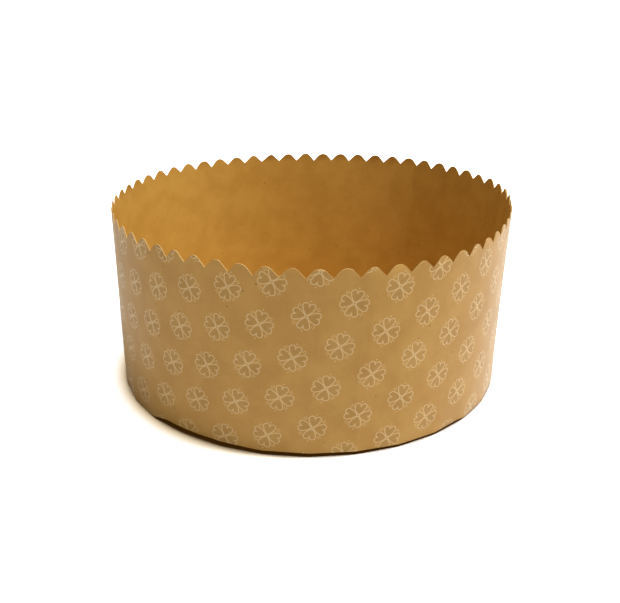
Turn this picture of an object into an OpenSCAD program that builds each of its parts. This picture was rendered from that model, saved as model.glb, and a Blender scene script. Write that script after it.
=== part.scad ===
// Low paper baking mold: a printed kraft wall with a zigzag rim, rolled into a
// cone, folded in at its foot and glued between two round base discs.

/* [Wall] */
// Outer diameter of the rim, at the tooth tips
rim_d = 168; // [140:1:220]
// Outer diameter across the corners of the folded foot
base_d = 159; // [120:1:200]
// Height of the wall, from its folded foot to the tooth tips
wall_h = 71.7; // [40:0.1:120]
// Thickness of the wall's kraft paper
paper_t = 0.45; // [0.3:0.05:0.8]

/* [Rim] */
// Number of teeth cut around the rim
tooth_count = 59; // [40:1:80]
// Depth of the zigzag, from tip to valley
tooth_depth = 3.3; // [1.5:0.1:5]
// Radius of a tooth's rounded tip
tip_r = 2.5; // [1:0.1:5]

/* [Lap seam] */
// Width over which the strip's two ends are glued
lap_w = 12; // [6:0.5:20]
// Direction of the outer end's free edge, from +X
seam_angle = 4.5; // [-30:0.5:30]
// How far the outer end's teeth miss those below
lap_slip = 1.2; // [0:0.1:3]

/* [Folded foot] */
// Number of straight folds around the foot
fold_count = 30; // [20:1:40]
// Height up the wall where a fold's flat runs out
flat_h = 13; // [6:0.5:25]
// Width of the margin that is folded in under the base
margin_w = 10; // [5:0.5:18]
// Width of the slit between two tabs of the margin
slit_w = 0.8; // [0.4:0.1:2]
// Bevel that the fold leaves along the foot
fold_bevel = 0.2; // [0.1:0.05:0.25]

/* [Base discs] */
// Thickness of the board disc under the margin
outer_disc_t = 1.2; // [0.5:0.1:2]
// How far the board disc is set in from the foot's corners
outer_disc_inset = 3.5; // [2:0.5:5]
// Thickness of the paper disc over the margin
inner_disc_t = 0.5; // [0.3:0.05:1]
// Gap between the paper disc and the wall
disc_clearance = 0.3; // [0.1:0.1:1]
// Number of steam holes in the ring, beside the one at the centre
vent_count = 6; // [3:1:12]
// Diameter of a steam hole
vent_d = 5; // [2:0.5:8]
// Radius of the ring of steam holes
vent_ring_r = 42; // [15:1:55]

/* [Hidden] */

$fn = 180;
cut = 1;
rim_r = rim_d / 2;
base_r = base_d / 2;
taper = atan((rim_r - base_r) / wall_h);

// the wall's folded foot stands on the board disc, the paper disc on the margin
foot_z = outer_disc_t;
margin_top_z = foot_z + paper_t;
rim_z = foot_z + wall_h;

// a flat runs straight from corner to corner at the foot and leans out until
// it meets the cone at flat_h
fold_step = 360 / fold_count;
corner_trim = 0.05;
flat_apothem = (base_r - corner_trim) * cos(fold_step / 2);
flat_lean = atan((base_r + flat_h * tan(taper) - flat_apothem) / flat_h);
flat_len = 2 * base_r * tan(fold_step / 2);
flat_cut_depth = 4 * cut;

// a tooth is a round tip with a straight flank on each side down to a sharp
// valley: flank_angle makes the flank touch the tip's circle
tooth_step = 360 / tooth_count;
half_pitch = rim_r * sin(tooth_step / 2);
tip_trim = 0.02;
widest_tip = 0.85 * half_pitch;
tip_fit = min(tip_r, widest_tip);
tip_bite = 0.03;
flank_angle = atan2(tooth_depth - tip_fit, half_pitch)
    + asin(tip_fit / norm([half_pitch, tooth_depth - tip_fit]));
flank_top = [tip_fit * sin(flank_angle), tip_fit * (cos(flank_angle) - 1)];
gap_reach = 0.1 * rim_r;

lap_angle = lap_w / rim_r * 180 / PI;
slip_angle = lap_slip / rim_r * 180 / PI;

// a slit ends this far inside the foot's corners
slit_stop = 3 * paper_t;

// Outer radius of the cone at height z
function wall_r(z) = base_r + (z - foot_z) * tan(taper);

// The rolled wall as a solid body from z0 to z1, grown by a layer of paper or
// shrunk by one, with the flats that the folds leave at its foot
module wall_body(grow = 0, z0 = foot_z, z1 = rim_z - tip_trim) {
    difference() {
        translate([0, 0, z0])
            cylinder(h = z1 - z0, r1 = wall_r(z0) + grow, r2 = wall_r(z1) + grow);
        for (i = [0 : fold_count - 1])
            rotate([0, 0, i * fold_step])
                translate([flat_apothem + grow, 0, foot_z])
                    rotate([0, flat_lean, 0])
                        translate([0, -flat_len, -cut])
                            cube([flat_cut_depth, 2 * flat_len, 2 * flat_h]);
    }
}

// The space between two neighbouring teeth, tips at x = -half_pitch and
// half_pitch, tips' height at y = 0
module tooth_gap_outline() {
    flank_x = half_pitch - flank_top[0] + tip_bite;
    difference() {
        polygon([
            [0, -tooth_depth],
            [flank_x, flank_top[1]],
            [half_pitch, flank_top[1]],
            [half_pitch, cut],
            [-half_pitch, cut],
            [-half_pitch, flank_top[1]],
            [-flank_x, flank_top[1]]
        ]);
        for (side = [-1, 1])
            translate([side * half_pitch, -tip_fit])
                circle(r = tip_fit);
    }
}

// The gaps between teeth first to last, cut through the wall towards the axis
module tooth_gaps(first, last, slip = 0) {
    for (i = [first : last])
        rotate([0, 0, i * tooth_step + slip])
            translate([rim_r - gap_reach, 0, rim_z])
                rotate([90, 0, 90])
                    linear_extrude(height = gap_reach + 2 * cut)
                        tooth_gap_outline();
}

// The outer end of the strip, lying over the inner end along the lap
module lap_end() {
    reach = 2 * rim_r;
    first = floor(seam_angle / tooth_step) - 1;
    last = ceil((seam_angle + lap_angle) / tooth_step) + 1;
    difference() {
        intersection() {
            wall_body(grow = paper_t);
            linear_extrude(height = rim_z + cut)
                polygon([
                    [0, 0],
                    reach * [cos(seam_angle), sin(seam_angle)],
                    reach * [cos(seam_angle + lap_angle), sin(seam_angle + lap_angle)]
                ]);
        }
        tooth_gaps(first, last, slip_angle);
    }
}

// Opens the folded margin to a ring and parts its tabs at the corners
module margin_cuts() {
    ring_r = base_r - margin_w;
    translate([0, 0, foot_z - cut])
        cylinder(h = paper_t + 2 * cut, r = ring_r);
    for (i = [0 : fold_count - 1])
        rotate([0, 0, (i + 0.5) * fold_step])
            translate([ring_r - cut, -slit_w / 2, foot_z - cut])
                cube([margin_w + cut - slit_stop, slit_w, paper_t + cut]);
}

// Takes the sharp edge off the foot, one straight fold at a time
module fold_bevels() {
    for (i = [0 : fold_count - 1])
        rotate([0, 0, i * fold_step])
            translate([flat_apothem - fold_bevel, 0, foot_z])
                rotate([0, 45, 0])
                    translate([0, -flat_len, -2 * cut])
                        cube([2 * cut, 2 * flat_len, 4 * cut]);
}

// Round holes for steam, straight through both discs
module steam_holes() {
    through = outer_disc_t + paper_t + inner_disc_t + 2 * cut;
    translate([0, 0, -cut]) {
        cylinder(h = through, d = vent_d);
        for (i = [0 : vent_count - 1])
            rotate([0, 0, (i + 0.5) * 360 / vent_count])
                translate([vent_ring_r, 0, 0])
                    cylinder(h = through, d = vent_d);
    }
}

// One strip of printed kraft: rolled wall, zigzag rim, glued lap, folded margin
module side_wall() {
    color([0.72, 0.56, 0.35])
        difference() {
            union() {
                difference() {
                    wall_body();
                    tooth_gaps(0, tooth_count - 1);
                }
                lap_end();
            }
            wall_body(grow = -paper_t, z0 = margin_top_z, z1 = rim_z + cut);
            margin_cuts();
            fold_bevels();
        }
}

// Smooth paper disc glued over the margin, the floor that the cake stands on
module inner_base_disc() {
    color([0.78, 0.62, 0.40])
        difference() {
            translate([0, 0, margin_top_z])
                cylinder(h = inner_disc_t, r = flat_apothem - paper_t - disc_clearance);
            steam_holes();
        }
}

// Board disc glued under the margin, set in so that the foot overhangs it
module outer_base_disc() {
    color([0.60, 0.45, 0.28])
        difference() {
            cylinder(h = outer_disc_t, r = base_r - outer_disc_inset);
            steam_holes();
        }
}

side_wall();
inner_base_disc();
outer_base_disc();
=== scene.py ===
import bisect
import math
import random

import bpy
from mathutils import Matrix, Vector


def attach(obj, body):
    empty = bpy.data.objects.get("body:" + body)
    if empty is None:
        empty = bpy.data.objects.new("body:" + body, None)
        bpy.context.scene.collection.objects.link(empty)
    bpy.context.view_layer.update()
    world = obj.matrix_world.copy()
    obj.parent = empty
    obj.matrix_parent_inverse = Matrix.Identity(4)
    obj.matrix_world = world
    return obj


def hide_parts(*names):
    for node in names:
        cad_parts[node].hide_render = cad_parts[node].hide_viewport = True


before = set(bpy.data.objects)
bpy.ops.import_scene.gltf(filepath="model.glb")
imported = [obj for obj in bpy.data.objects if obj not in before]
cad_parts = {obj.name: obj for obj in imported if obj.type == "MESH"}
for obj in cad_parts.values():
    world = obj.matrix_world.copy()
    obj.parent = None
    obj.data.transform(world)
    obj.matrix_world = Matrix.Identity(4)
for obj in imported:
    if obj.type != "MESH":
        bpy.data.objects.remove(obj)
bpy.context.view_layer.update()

MM = 0.001


# The view: a long lens a little above the rim, looking down at the printed
# front of the mold. The floor and the surroundings are plain white, but for
# painted shade on the floor beside and under the mold's foot.
camera_distance = 320.8 * MM
camera_height = 162.2 * MM
camera_pitch = math.radians(22.959)
camera_roll = math.radians(0.109)

bpy.ops.object.camera_add(location=(0, -camera_distance, camera_height))
camera = bpy.context.object
camera.name = "front_camera"
camera.matrix_world = (
    Matrix.Translation(camera.location)
    @ Matrix.Rotation(math.pi / 2 - camera_pitch, 4, "X")
    @ Matrix.Rotation(camera_roll, 4, "Z")
)
camera.data.lens = 46.83
camera.data.sensor_width = 36
camera.data.shift_x = 0.0017
camera.data.shift_y = -0.0001
bpy.context.scene.camera = camera
bpy.context.scene.view_settings.view_transform = "Standard"


def aim_lamp(lamp, target):
    """Turns a lamp so that it shines at the target."""
    direction = target - lamp.location
    lamp.rotation_euler = direction.to_track_quat("-Z", "Y").to_euler()


def add_area_lamp(name, azimuth, elevation, distance, size, power):
    """An area lamp round the mold; azimuth counts from +X towards +Y, in degrees."""
    flat = distance * math.cos(math.radians(elevation))
    place = (
        flat * math.cos(math.radians(azimuth)),
        flat * math.sin(math.radians(azimuth)),
        distance * math.sin(math.radians(elevation)),
    )
    bpy.ops.object.light_add(type="AREA", location=place)
    lamp = bpy.context.object
    lamp.name = name
    lamp.data.shape = "DISK"
    lamp.data.size = size
    lamp.data.energy = power
    aim_lamp(lamp, Vector((0, 0, 40 * MM)))
    return lamp


add_area_lamp("key_lamp", azimuth=-15, elevation=70, distance=1.6, size=0.30, power=39)

world = bpy.data.worlds.new("white_room")
bpy.context.scene.world = world
world.use_nodes = True
sky = world.node_tree
room_light = sky.nodes["Background"]
room_light.inputs["Color"].default_value = (1, 0.94, 0.83, 1)
room_light.inputs["Strength"].default_value = 0.46
seen_white = sky.nodes.new("ShaderNodeBackground")
seen_white.inputs["Color"].default_value = (1, 1, 1, 1)
seen_white.inputs["Strength"].default_value = 1
rays = sky.nodes.new("ShaderNodeLightPath")
seen = sky.nodes.new("ShaderNodeMixShader")
sky.links.new(rays.outputs["Is Camera Ray"], seen.inputs["Fac"])
sky.links.new(room_light.outputs["Background"], seen.inputs[1])
sky.links.new(seen_white.outputs["Background"], seen.inputs[2])
sky.links.new(seen.outputs["Shader"], sky.nodes["World Output"].inputs["Surface"])

bpy.ops.object.select_all(action="DESELECT")
bpy.ops.mesh.primitive_plane_add(size=8, location=(0, 0, 0))
floor = bpy.context.object
floor.name = "studio_floor"
floor_paint = bpy.data.materials.new("floor_white")
floor_paint.use_nodes = True
paint = floor_paint.node_tree
floor_matt = paint.nodes["Principled BSDF"]
floor_matt.inputs["Roughness"].default_value = 0.9
floor_matt.inputs["Specular IOR Level"].default_value = 0
floor_rays = paint.nodes.new("ShaderNodeLightPath")

# painted shade on the floor, read from ambient occlusion: the floor's colour and glow
# are painted near black under the foot's fold, with a painted warm shadow and
# kraft-coloured bounce in the mold's own shade
closed_in = paint.nodes.new("ShaderNodeAmbientOcclusion")
closed_in.samples = 16
closed_in.inputs["Distance"].default_value = 12 * MM
closed = 0.47
# the glow that lifts the floor to white, stepped down through painted warm shade to painted black
# under the foot
painted_shadow_tint = paint.nodes.new("ShaderNodeValToRGB")
tint = painted_shadow_tint.color_ramp.elements
tint[0].position = closed
tint[0].color = (0.030, 0.011, 0.001, 1)
tint[1].position = 0.76
tint[1].color = (0.83, 0.83, 0.83, 1)
painted_warm_bounce = tint.new(0.54)
painted_warm_bounce.color = (0.34, 0.24, 0.11, 1)
painted_pale_bounce = tint.new(0.64)
painted_pale_bounce.color = (0.64, 0.53, 0.37, 1)
# the floor's own colour, painted dark where it is closed in under the foot: painted shade
painted_shade_under_foot = paint.nodes.new("ShaderNodeValToRGB")
painted_shade_under_foot.color_ramp.elements[0].position = closed
painted_shade_under_foot.color_ramp.elements[0].color = (0.03, 0.015, 0.005, 1)
painted_shade_under_foot.color_ramp.elements[1].position = 0.53
painted_shade_under_foot.color_ramp.elements[1].color = (0.8, 0.8, 0.8, 1)
paint.links.new(closed_in.outputs["AO"], painted_shadow_tint.inputs["Fac"])
paint.links.new(closed_in.outputs["AO"], painted_shade_under_foot.inputs["Fac"])
paint.links.new(painted_shadow_tint.outputs["Color"], floor_matt.inputs["Emission Color"])
paint.links.new(painted_shade_under_foot.outputs["Color"], floor_matt.inputs["Base Color"])
paint.links.new(floor_rays.outputs["Is Camera Ray"], floor_matt.inputs["Emission Strength"])
floor.data.materials.append(floor_paint)


# The side wall: one strip of kraft paper printed with pale four-leaf clovers,
# its upper edge cut in a zigzag, rolled into a cone and glued along a lap, its
# lower margin slit into tabs and folded in under the base.
# Lengths are in millimetres; angles count in degrees from +X towards +Y, so
# the middle of the front is at 270.
FOOT_Z = 1.2
WALL_H = 71.6
FOOT_R = 79.5
RIM_R = 82.4
RIM_OFF_X = 2.50
RIM_OFF_Y = 0.64
PAPER_T = 0.40

TEETH = 59
TOOTH_DEPTH = 3.4
FOLDS = 30
FOLD_STEP = 360 / FOLDS
FLAT_H = 13.0
MARGIN_W = 10.0
SLIT_STOP = 1.2

# how far the foot's fold rises, gapes, droops and lies low, and how far up the
# wall and in along the margin this reaches
FOOT_RISE = 0.65
FOOT_GAPE = 1.2
FOOT_DROOP = 1.05
FOOT_LOW = 0.3
UNEVEN_H = 30.0
UNEVEN_W = 3.0

# the wall's press out of round at the rim, as (waves, cosine part, sine part),
# and the shallow dents half way up, as (waves, depth, start)
SQUEEZE = ((2, -0.403, 0.867), (3, -1.027, 2.218), (4, -0.572, 0.372))
DENTS = ((7, 0.16, 0.4), (11, 0.12, 2.1))

COLUMNS_PER_TOOTH = 16
COLUMN_STEP = 360 / (TEETH * COLUMNS_PER_TOOTH)
SEAM_START = 12 * COLUMN_STEP
LAP_END = 12.75
LAP_RAMP = 5.0
LAP_CLEAR = 0.05
TOOTH_SLIP = 2 * COLUMN_STEP
SLIP_START = 350
SLIP_RAMP = 12
strip_columns = round((360 + LAP_END - SEAM_START) / COLUMN_STEP)

# Stations along the paper, from the margin's inner edge to the foot fold and
# up to just below the tooth valleys; three more rows follow the zigzag itself.
margin_stations = [-MARGIN_W, -6.0, -3.5, -2.0, -1.0, -0.35]
wall_stations = [0.0, 0.35, 0.9, 1.7, 3.0, 5.0, 7.5, 10.5, 14.0, 18.0, 22.5, 27.0,
                 32.0, 37.0, 42.0, 47.0, 52.0, 56.5, 60.5, 63.5, 65.8, 67.2, 67.9]
stations = margin_stations + wall_stations
tooth_rows = 3
strip_rows = len(stations) + tooth_rows - 1

half_pitch = RIM_R * math.sin(math.pi / TEETH)
flat_apothem = FOOT_R * math.cos(math.pi / FOLDS)
taper = (RIM_R - FOOT_R) / WALL_H
flat_lean = (FOOT_R + FLAT_H * taper - flat_apothem) / FLAT_H

unevenness = random.Random(4)
tooth_tip_lift = [unevenness.uniform(-0.2, 0.0) for _ in range(TEETH)]
tooth_valley_lift = [unevenness.uniform(-0.25, 0.15) for _ in range(TEETH)]
tooth_lean = [unevenness.uniform(-0.45, 0.05) for _ in range(TEETH)]
tooth_tip_r = [unevenness.uniform(2.1, 3.3) for _ in range(TEETH)]


def ease(value):
    """A smooth step from 0 to 1."""
    value = min(max(value, 0.0), 1.0)
    return value * value * (3 - 2 * value)


def tooth_place(angle):
    """Which tooth, counted with its fraction, stands at this angle along the
    strip; towards the inner end, under the lap, the teeth slip a little."""
    slip = TOOTH_SLIP * ease((angle - SLIP_START) / SLIP_RAMP)
    return (angle + slip) / 360 * TEETH


def tooth_drop(angle):
    """How far the zigzag lies below the tips at this angle along the strip."""
    place = tooth_place(angle)
    across = abs((place % 1.0) - 0.5) * 2 * half_pitch
    tip_r = tooth_tip_r[int(place) % TEETH]
    tip_span = math.hypot(half_pitch, TOOTH_DEPTH - tip_r)
    flank = math.atan2(TOOTH_DEPTH - tip_r, half_pitch) + math.asin(tip_r / tip_span)
    if across < tip_r * math.sin(flank):
        return tip_r - math.sqrt(tip_r * tip_r - across * across)
    drop = tip_r * (1 - math.cos(flank))
    return drop + (across - tip_r * math.sin(flank)) * math.tan(flank)


def pressed_radius(theta, share):
    """The wall's radius at this share of its height, pressed a little out of round."""
    squeeze = sum(
        cosine * math.cos(waves * theta) + sine * math.sin(waves * theta)
        for waves, cosine, sine in SQUEEZE
    )
    dents = sum(depth * math.sin(waves * theta + start) for waves, depth, start in DENTS)
    return FOOT_R + (RIM_R - FOOT_R + squeeze) * share + dents * math.sin(math.pi * share)


def rim_place(theta):
    """A point of the rim's line, which lies a little off the foot's centre."""
    radius = pressed_radius(theta, 1)
    return radius * math.cos(theta) + RIM_OFF_X, radius * math.sin(theta) + RIM_OFF_Y


# The strip's teeth are evenly spaced along the rim's length, so the angle at
# which each of them stands is read from the length of the rim's line.
rim_marks = [rim_place(math.radians(mark)) for mark in range(361)]
rim_lengths = [0.0]
for start, end in zip(rim_marks, rim_marks[1:]):
    rim_lengths.append(rim_lengths[-1] + math.dist(start, end))


def rim_angle(angle):
    """Where the rim's point of this strip angle stands round the mold, in degrees."""
    turns = math.floor(angle / 360)
    length = (angle / 360 - turns) * rim_lengths[-1]
    mark = bisect.bisect_right(rim_lengths, length) - 1
    mark = min(mark, 359)
    step = rim_lengths[mark + 1] - rim_lengths[mark]
    return turns * 360 + mark + (length - rim_lengths[mark]) / step


def lap_lift(angle):
    """How far the outer end of the strip rides out over the inner end."""
    return (PAPER_T + LAP_CLEAR) * (1 - ease((angle - LAP_END) / LAP_RAMP))


def hump(value, middle, reach):
    """1 at the middle, easing off to 0 within the reach on both sides."""
    return ease(1 - abs(value - middle) / reach)


def stretch(value, start, start_ramp, end, end_ramp):
    """0 outside start and end, 1 between them, with a ramp at either end."""
    return ease((value - start) / start_ramp) * ease((end - value) / end_ramp)


def foot_lift(angle):
    """The fold gapes left of the front middle, droops to the table at both
    sides and lies a little low right of the middle."""
    turn = angle % 360
    past_back = turn if turn > 90 else turn + 360
    rise = FOOT_RISE * hump(turn, 242, 62) * ease((turn - 218) / 12)
    gape = FOOT_GAPE * stretch(turn, 220, 14, 256, 22)
    droop = stretch(past_back, 165, 20, 226, 8) + stretch(past_back, 314, 8, 385, 20)
    return rise + gape - FOOT_DROOP * droop - FOOT_LOW * hump(turn, 302, 24)


def rolled(angle, station, height):
    """The outer face of the rolled strip: angle in degrees along the strip, its
    station along the paper and its height above the foot, in millimetres."""
    share = max(height, 0.0) / WALL_H
    theta = math.radians(angle + (rim_angle(angle) - angle) * share)
    radius = pressed_radius(theta, share)
    fold = math.radians(FOLD_STEP)
    from_flat = (theta + fold / 2) % fold - fold / 2
    flat = (flat_apothem + max(height, 0.0) * flat_lean) / math.cos(from_flat)
    radius = min(radius, flat) + lap_lift(angle)
    if station < 0:
        radius += station
    x = radius * math.cos(theta) + RIM_OFF_X * share
    y = radius * math.sin(theta) + RIM_OFF_Y * share
    uneven = foot_lift(angle) * ease(1 - height / UNEVEN_H) * ease(1 + station / UNEVEN_W)
    return x * MM, y * MM, (FOOT_Z + height + uneven) * MM


def strip_point(column, row):
    """Where the strip's grid point goes, rolled up and folded."""
    angle = SEAM_START + column * COLUMN_STEP
    if row < len(stations):
        station = stations[row]
        return rolled(angle, station, max(station, 0.0))
    tooth = int(tooth_place(angle)) % TEETH
    valley = round(tooth_place(angle)) % TEETH
    drop = tooth_drop(angle)
    tipness = 1 - drop / TOOTH_DEPTH
    top = WALL_H - drop + tooth_tip_lift[tooth] * tipness
    top += tooth_valley_lift[valley] * (1 - tipness) ** 3
    reach = (row - len(stations) + 1) / tooth_rows
    base = stations[-1]
    height = base + (top - base) * reach
    x, y, z = rolled(angle, height, height)
    lean = tooth_lean[tooth] * MM * (tipness * reach) ** 2
    theta = math.radians(angle)
    return x + lean * math.cos(theta), y + lean * math.sin(theta), z


# how strongly the print's rows are curved on the flat sheet, and how much the
# rows half way up are shifted
SHEET_CURVE = 0.0845
SHEET_BOW = 0.027
FRONT = 270


def flat_place(angle, station):
    """The same point on the flat sheet before it is rolled, in metres: x runs
    along the foot from the front middle, y up the paper from the foot fold."""
    apex = FOOT_R / SHEET_CURVE
    turn = math.radians(angle - FRONT) * SHEET_CURVE
    reach = apex + station - SHEET_BOW * station * (1 - station / WALL_H)
    return reach * math.sin(turn) * MM, (reach * math.cos(turn) - apex) * MM


bpy.ops.object.select_all(action="DESELECT")
bpy.ops.mesh.primitive_grid_add(x_subdivisions=strip_columns, y_subdivisions=strip_rows, size=1)
wall = bpy.context.object
wall.name = "printed_wall"
flat_uv = wall.data.uv_layers.active
flat_uv.name = "flat_sheet"
places = {}
for vertex in wall.data.vertices:
    column = round((vertex.co.x + 0.5) * strip_columns)
    row = round((vertex.co.y + 0.5) * strip_rows)
    point = strip_point(column, row)
    angle = SEAM_START + column * COLUMN_STEP
    station = stations[row] if row < len(stations) else point[2] / MM - FOOT_Z
    places[vertex.index] = flat_place(angle, station)
    vertex.co = point
for loop in wall.data.loops:
    flat_uv.data[loop.index].uv = places[loop.vertex_index]

# the slits between the tabs of the folded margin, one at every fold corner
bpy.ops.object.mode_set(mode="EDIT")
bpy.ops.mesh.select_mode(type="FACE")
bpy.ops.mesh.select_all(action="DESELECT")
bpy.ops.object.mode_set(mode="OBJECT")
slit_reach = (flat_apothem - SLIT_STOP) * MM
margin_top = (FOOT_Z + 0.1) * MM
for face in wall.data.polygons:
    x, y, z = face.center
    radius = math.hypot(x, y)
    corner = (math.degrees(math.atan2(y, x)) / FOLD_STEP) % 1.0
    off_corner = abs(corner - 0.5) * FOLD_STEP
    face.select = z < margin_top and radius < slit_reach and off_corner < COLUMN_STEP
bpy.ops.object.mode_set(mode="EDIT")
bpy.ops.mesh.delete(type="FACE")
bpy.ops.object.mode_set(mode="OBJECT")


def link(tree, value, socket):
    """Feeds a socket from another socket, or sets it to a plain value."""
    if isinstance(value, bpy.types.NodeSocket):
        tree.links.new(value, socket)
    else:
        socket.default_value = value


def math_node(tree, operation, *values):
    """A Math node with its inputs, which may be sockets or numbers."""
    node = tree.nodes.new("ShaderNodeMath")
    node.operation = operation
    for value, socket in zip(values, node.inputs):
        link(tree, value, socket)
    return node.outputs[0]


def vector_node(tree, operation, *values):
    """A Vector Math node; its output is the vector, or the value for LENGTH."""
    node = tree.nodes.new("ShaderNodeVectorMath")
    node.operation = operation
    for value, socket in zip(values, node.inputs):
        link(tree, value, socket)
    return node.outputs["Value" if operation == "LENGTH" else "Vector"]


def smooth_mask(tree, value, full, none):
    """1 where the value is at full, 0 where it is at none, smooth between them."""
    node = tree.nodes.new("ShaderNodeMapRange")
    node.interpolation_type = "SMOOTHSTEP"
    link(tree, value, node.inputs["Value"])
    link(tree, none, node.inputs["From Min"])
    link(tree, full, node.inputs["From Max"])
    return node.outputs["Result"]


def mix_colour(tree, factor, below, above, blend="MIX"):
    """A Mix node for two colours."""
    node = tree.nodes.new("ShaderNodeMix")
    node.data_type = "RGBA"
    node.blend_type = blend
    link(tree, factor, node.inputs[0])
    link(tree, below, node.inputs[6])
    link(tree, above, node.inputs[7])
    return node.outputs[2]


def new_group(name, inputs, outputs):
    """An empty shader node group with named sockets and its two end nodes."""
    tree = bpy.data.node_groups.new(name, "ShaderNodeTree")
    for socket_name, kind, value in inputs:
        socket = tree.interface.new_socket(socket_name, in_out="INPUT", socket_type=kind)
        if value is not None:
            socket.default_value = value
    for socket_name, kind in outputs:
        tree.interface.new_socket(socket_name, in_out="OUTPUT", socket_type=kind)
    return tree, tree.nodes.new("NodeGroupInput"), tree.nodes.new("NodeGroupOutput")


def place_group(tree, group_tree, **values):
    """One use of a node group, with its own values for the named inputs."""
    node = tree.nodes.new("ShaderNodeGroup")
    node.node_tree = group_tree
    for name, value in values.items():
        link(tree, value, node.inputs[name.replace("_", " ")])
    return node


# clover print: a clover at every point of a tilted triangular net
clover_print, net_in, net_out = new_group(
    "clover_print",
    [("Flat", "NodeSocketVector", None), ("Spacing", "NodeSocketFloat", 16.57),
     ("Tilt", "NodeSocketFloat", math.radians(14.75)), ("Line", "NodeSocketFloat", 0.34)],
    [("Ink", "NodeSocketFloat"), ("Leaf", "NodeSocketFloat")],
)
net_turn = clover_print.nodes.new("ShaderNodeVectorRotate")
net_turn.rotation_type = "Z_AXIS"
clover_print.links.new(net_in.outputs["Flat"], net_turn.inputs["Vector"])
net_angle = math_node(clover_print, "MULTIPLY", net_in.outputs["Tilt"], -1.0)
clover_print.links.new(net_angle, net_turn.inputs["Angle"])
cell_parts = clover_print.nodes.new("ShaderNodeCombineXYZ")
spacing = net_in.outputs["Spacing"]
half_wide, half_high = 0.5, math.sqrt(3) / 2
link(clover_print, math_node(clover_print, "MULTIPLY", spacing, half_wide), cell_parts.inputs["X"])
link(clover_print, math_node(clover_print, "MULTIPLY", spacing, half_high), cell_parts.inputs["Y"])
cell_parts.inputs["Z"].default_value = 1
half_cell = cell_parts.outputs["Vector"]
minus_half = vector_node(clover_print, "MULTIPLY", half_cell, (-1, -1, -1))
even_rows = vector_node(clover_print, "WRAP", net_turn.outputs["Vector"], half_cell, minus_half)
shifted = vector_node(clover_print, "ADD", net_turn.outputs["Vector"], half_cell)
odd_rows = vector_node(clover_print, "WRAP", shifted, half_cell, minus_half)
flatten = (1, 1, 0)
even_rows = vector_node(clover_print, "MULTIPLY", even_rows, flatten)
odd_rows = vector_node(clover_print, "MULTIPLY", odd_rows, flatten)
nearer = math_node(
    clover_print, "LESS_THAN",
    vector_node(clover_print, "LENGTH", odd_rows), vector_node(clover_print, "LENGTH", even_rows),
)
pick = clover_print.nodes.new("ShaderNodeMix")
pick.data_type = "VECTOR"
link(clover_print, nearer, pick.inputs[0])
link(clover_print, even_rows, pick.inputs[4])
link(clover_print, odd_rows, pick.inputs[5])
leaf_turn = clover_print.nodes.new("ShaderNodeVectorRotate")
leaf_turn.rotation_type = "Z_AXIS"
leaf_turn.inputs["Angle"].default_value = math.radians(-60)
clover_print.links.new(pick.outputs[1], leaf_turn.inputs["Vector"])
leaf_axes = clover_print.nodes.new("ShaderNodeSeparateXYZ")
one_quarter = vector_node(clover_print, "ABSOLUTE", leaf_turn.outputs["Vector"])
link(clover_print, one_quarter, leaf_axes.inputs[0])
along_x, along_y = leaf_axes.outputs["X"], leaf_axes.outputs["Y"]
along = math_node(clover_print, "MAXIMUM", along_x, along_y)
beside = math_node(clover_print, "MINIMUM", along_x, along_y)


def distance_to(tree, x, y, at_x, at_y, radius):
    """Distance from the point (x, y) to a circle, negative inside it."""
    dx = math_node(tree, "SUBTRACT", x, at_x)
    dy = math_node(tree, "SUBTRACT", y, at_y)
    square = math_node(tree, "MULTIPLY_ADD", dx, dx, math_node(tree, "MULTIPLY", dy, dy))
    return math_node(tree, "SUBTRACT", math_node(tree, "SQRT", square), radius)


# half a heart-shaped leaflet: straight from the clover's centre to a round
# cheek, and a round lobe beside the notch
cheek_x, cheek_y, cheek_r = 2.75, 0.72, 1.12
lobe_x, lobe_y, lobe_r = 3.75, 1.12, 1.10
lobe_blend, leaf_start, start_blend = 0.2, 0.45, 0.3
cheek_reach = math.hypot(cheek_x, cheek_y)
cheek_sin = cheek_r / cheek_reach
cheek_cos = math.sqrt(1 - cheek_sin * cheek_sin)
axis_x, axis_y = cheek_x / cheek_reach, cheek_y / cheek_reach
on_axis = math_node(
    clover_print, "MULTIPLY_ADD", along, axis_x, math_node(clover_print, "MULTIPLY", beside, axis_y))
off_axis = math_node(clover_print, "ABSOLUTE", math_node(
    clover_print, "MULTIPLY_ADD", beside, axis_x, math_node(clover_print, "MULTIPLY", along, -axis_y)))
straight = math_node(
    clover_print, "MULTIPLY_ADD", off_axis, cheek_cos,
    math_node(clover_print, "MULTIPLY", on_axis, -cheek_sin))
past_cheek = math_node(
    clover_print, "GREATER_THAN",
    math_node(clover_print, "MULTIPLY_ADD", off_axis, cheek_sin,
              math_node(clover_print, "MULTIPLY", on_axis, cheek_cos)),
    cheek_cos * cheek_reach)
cheek = distance_to(clover_print, along, beside, cheek_x, cheek_y, cheek_r)
side = clover_print.nodes.new("ShaderNodeMix")
link(clover_print, past_cheek, side.inputs[0])
link(clover_print, straight, side.inputs[2])
link(clover_print, cheek, side.inputs[3])
lobe = distance_to(clover_print, along, beside, lobe_x, lobe_y, lobe_r)
leaf_distance = math_node(clover_print, "SMOOTH_MIN", side.outputs[0], lobe, lobe_blend)
leaf_tip = math_node(clover_print, "SUBTRACT", leaf_start, along)
leaf_distance = math_node(clover_print, "SMOOTH_MAX", leaf_distance, leaf_tip, start_blend)
line_distance = math_node(clover_print, "ABSOLUTE", leaf_distance)

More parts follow.
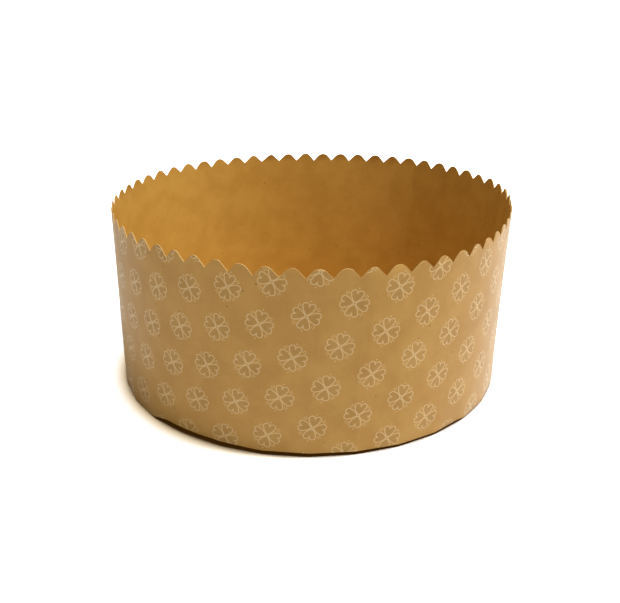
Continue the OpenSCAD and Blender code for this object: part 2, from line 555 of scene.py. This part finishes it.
# two short rays in each gap between leaflets, and a dot past two notches, both
# drawn a little thinner than the leaflets' line
ray_middle, ray_half, ray_apart, ray_thinner = 4.75, 0.5, 0.38, 0.06
dot_along, dot_r, dot_thinner = 5.68, 0.20, 0.12
gap_along = math_node(
    clover_print, "MULTIPLY", math_node(clover_print, "ADD", along, beside), math.sqrt(0.5))
gap_beside = math_node(
    clover_print, "MULTIPLY", math_node(clover_print, "SUBTRACT", along, beside), math.sqrt(0.5))
ray_end = math_node(clover_print, "MAXIMUM", math_node(
    clover_print, "SUBTRACT", math_node(
        clover_print, "ABSOLUTE", math_node(
            clover_print, "SUBTRACT", gap_along, ray_middle)), ray_half), 0.0)
ray_distance = math_node(clover_print, "ADD", distance_to(
    clover_print, ray_end, gap_beside, 0.0, ray_apart, 0.0), ray_thinner)
dot_distance = math_node(clover_print, "ADD", distance_to(
    clover_print, along_x, along_y, dot_along, 0.0, dot_r), dot_thinner)
drawn = math_node(clover_print, "MINIMUM", line_distance, math_node(
    clover_print, "MINIMUM", ray_distance, dot_distance))
line_blur, leaf_blur = 0.06, 0.1
half_line = math_node(clover_print, "MULTIPLY", net_in.outputs["Line"], 0.5)
line_edge = math_node(clover_print, "ADD", half_line, line_blur)
line_core = math_node(clover_print, "SUBTRACT", half_line, line_blur)
ink = smooth_mask(clover_print, drawn, line_core, line_edge)
leaf = smooth_mask(clover_print, leaf_distance, -leaf_blur, leaf_blur)
link(clover_print, ink, net_out.inputs["Ink"])
link(clover_print, leaf, net_out.inputs["Leaf"])

# paper grain: cloudy formation, fine fibres and a few dark specks
paper_grain, grain_in, grain_out = new_group(
    "paper_grain",
    [("Place", "NodeSocketVector", None), ("Speck Share", "NodeSocketFloat", 0.1)],
    [("Cloud", "NodeSocketFloat"), ("Fibre", "NodeSocketFloat"),
     ("Speck", "NodeSocketFloat"), ("Height", "NodeSocketFloat")],
)


def noise_node(tree, place, scale, detail, roughness=0.5, distortion=0.0):
    """A Noise Texture and its value."""
    node = tree.nodes.new("ShaderNodeTexNoise")
    link(tree, place, node.inputs["Vector"])
    node.inputs["Scale"].default_value = scale
    node.inputs["Detail"].default_value = detail
    node.inputs["Roughness"].default_value = roughness
    node.inputs["Distortion"].default_value = distortion
    return node.outputs["Fac"]


to_mm = (1000, 1000, 1000)
place_mm = vector_node(paper_grain, "MULTIPLY", grain_in.outputs["Place"], to_mm)
cloud = noise_node(paper_grain, place_mm, 0.09, 4, 0.6)
fibre = noise_node(paper_grain, place_mm, 0.9, 5, 0.65, 1.2)
fine = noise_node(paper_grain, place_mm, 3.5, 2)
cells = paper_grain.nodes.new("ShaderNodeTexVoronoi")
link(paper_grain, place_mm, cells.inputs["Vector"])
cells.inputs["Scale"].default_value = 0.22
cell_draw = paper_grain.nodes.new("ShaderNodeSeparateColor")
link(paper_grain, cells.outputs["Color"], cell_draw.inputs[0])
speck_core, speck_edge = 0.05, 0.11
speck_round = smooth_mask(paper_grain, cells.outputs["Distance"], speck_core, speck_edge)
speck_here = math_node(
    paper_grain, "LESS_THAN", cell_draw.outputs["Red"], grain_in.outputs["Speck Share"])
speck = math_node(paper_grain, "MULTIPLY", speck_round, speck_here)
fibre_relief, fine_relief = 0.6, 0.4
relief = math_node(
    paper_grain, "MULTIPLY_ADD", fibre, fibre_relief,
    math_node(paper_grain, "MULTIPLY", fine, fine_relief))
link(paper_grain, cloud, grain_out.inputs["Cloud"])
link(paper_grain, fibre, grain_out.inputs["Fibre"])
link(paper_grain, speck, grain_out.inputs["Speck"])
link(paper_grain, relief, grain_out.inputs["Height"])


def shaded(colour, factor):
    """A colour darkened or lightened by a factor, with its alpha."""
    return tuple(channel * factor for channel in colour[:3]) + (1,)


# the paper's tone: a browner and a paler cloud, paler fibres and dark specks,
# each as a factor on its colour, and how much of the last two shows
CLOUD_BROWN = (0.95, 0.91, 0.84)
CLOUD_PALE = 1.06
FIBRE_PALE, FIBRE_SHOWS = 1.3, 0.16
SPECK_DARK, SPECK_SHOWS = 0.35, 0.6


def kraft_material(name, colour, roughness, gloss, speck_share, bump):
    """Brown kraft with its cloudy formation, fibres and specks. Gives the
    material, its Principled shader and the colour that feeds it."""
    material = bpy.data.materials.new(name)
    material.use_nodes = True
    tree = material.node_tree
    shader = tree.nodes["Principled BSDF"]
    place = tree.nodes.new("ShaderNodeTexCoord").outputs["Object"]
    grain = place_group(tree, paper_grain, Place=place, Speck_Share=speck_share)
    cloud_mask = smooth_mask(tree, grain.outputs["Cloud"], 0.66, 0.34)
    browned = tuple(channel * factor for channel, factor in zip(colour, CLOUD_BROWN)) + (1,)
    tone = mix_colour(tree, cloud_mask, browned, shaded(colour, CLOUD_PALE))
    fibre_mask = smooth_mask(tree, grain.outputs["Fibre"], 0.7, 0.4)
    fibre_mask = math_node(tree, "MULTIPLY", fibre_mask, FIBRE_SHOWS)
    tone = mix_colour(tree, fibre_mask, tone, shaded(colour, FIBRE_PALE))
    speck_mask = math_node(tree, "MULTIPLY", grain.outputs["Speck"], SPECK_SHOWS)
    tone = mix_colour(tree, speck_mask, tone, shaded(colour, SPECK_DARK))
    link(tree, tone, shader.inputs["Base Color"])
    shader.inputs["Roughness"].default_value = roughness
    shader.inputs["Specular IOR Level"].default_value = gloss
    relief = tree.nodes.new("ShaderNodeBump")
    relief.inputs["Strength"].default_value = bump
    relief.inputs["Distance"].default_value = 0.05 * MM
    link(tree, grain.outputs["Height"], relief.inputs["Height"])
    link(tree, relief.outputs["Normal"], shader.inputs["Normal"])
    return material, shader, tone


kraft_brown = (0.384, 0.215, 0.056)
kraft_inside = (0.450, 0.256, 0.052)
kraft_cut = (0.38, 0.24, 0.09)
ink_cream = (0.62, 0.445, 0.205, 1)
leaf_olive = (0.92, 0.95, 1.05, 1)
ink_shows, ink_coat = 0.6, 0.6

printed_kraft, printed_shader, printed_tone = kraft_material(
    "printed_kraft", kraft_brown, roughness=0.5, gloss=0.15, speck_share=0.32, bump=0.4)
tree = printed_kraft.node_tree
sheet_map = tree.nodes.new("ShaderNodeUVMap")
sheet_map.uv_map = "flat_sheet"
sheet_mm = vector_node(tree, "MULTIPLY", sheet_map.outputs["UV"], to_mm)
first_clover = (5.40, 26.80, 0)
clovers = place_group(
    tree, clover_print, Flat=vector_node(tree, "SUBTRACT", sheet_mm, first_clover))
leaf_tone = mix_colour(tree, 1.0, printed_tone, leaf_olive, "MULTIPLY")
printed_tone = mix_colour(tree, clovers.outputs["Leaf"], printed_tone, leaf_tone)
ink_mask = math_node(tree, "MULTIPLY", clovers.outputs["Ink"], ink_shows)
printed_tone = mix_colour(tree, ink_mask, printed_tone, ink_cream)
link(tree, printed_tone, printed_shader.inputs["Base Color"])
coat = math_node(tree, "MULTIPLY", clovers.outputs["Ink"], ink_coat)
link(tree, coat, printed_shader.inputs["Coat Weight"])
printed_shader.inputs["Coat Roughness"].default_value = 0.5
printed_shader.inputs["Sheen Weight"].default_value = 0.15
printed_shader.inputs["Sheen Roughness"].default_value = 0.35
printed_shader.inputs["Sheen Tint"].default_value = (1, 0.97, 0.93, 1)

plain_kraft = kraft_material(
    "plain_kraft", kraft_inside, roughness=0.6, gloss=0.1, speck_share=0.30, bump=0.5)[0]
cut_edge = kraft_material(
    "cut_edge", kraft_cut, roughness=0.8, gloss=0.1, speck_share=0.0, bump=0.2)[0]

for finish in (printed_kraft, plain_kraft, cut_edge):
    wall.data.materials.append(finish)

thickness = wall.modifiers.new("paper_thickness", "SOLIDIFY")
thickness.thickness = PAPER_T * MM
thickness.offset = -1
thickness.use_even_offset = True
thickness.material_offset = 1
thickness.material_offset_rim = 2
bpy.ops.object.modifier_apply(modifier="paper_thickness")
bpy.ops.object.shade_smooth_by_angle(angle=math.radians(35))
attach(wall, "root")
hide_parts("side_wall")


# The inner base disc: smooth kraft paper glued over the folded margin, punched
# with round steam holes. It is the floor that the cake stands on.
inner_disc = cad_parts["inner_base_disc"]
inner_disc.data.materials.clear()
inner_disc.data.materials.append(plain_kraft)


# The outer base disc: a round of board glued under the margin and set in from
# the foot, so that the wall's fold overhangs it.
board_brown = (0.34, 0.20, 0.08)
kraft_board = kraft_material(
    "kraft_board", board_brown, roughness=0.85, gloss=0.1, speck_share=0.3, bump=0.6)[0]
outer_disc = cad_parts["outer_base_disc"]
outer_disc.data.materials.clear()
outer_disc.data.materials.append(kraft_board)
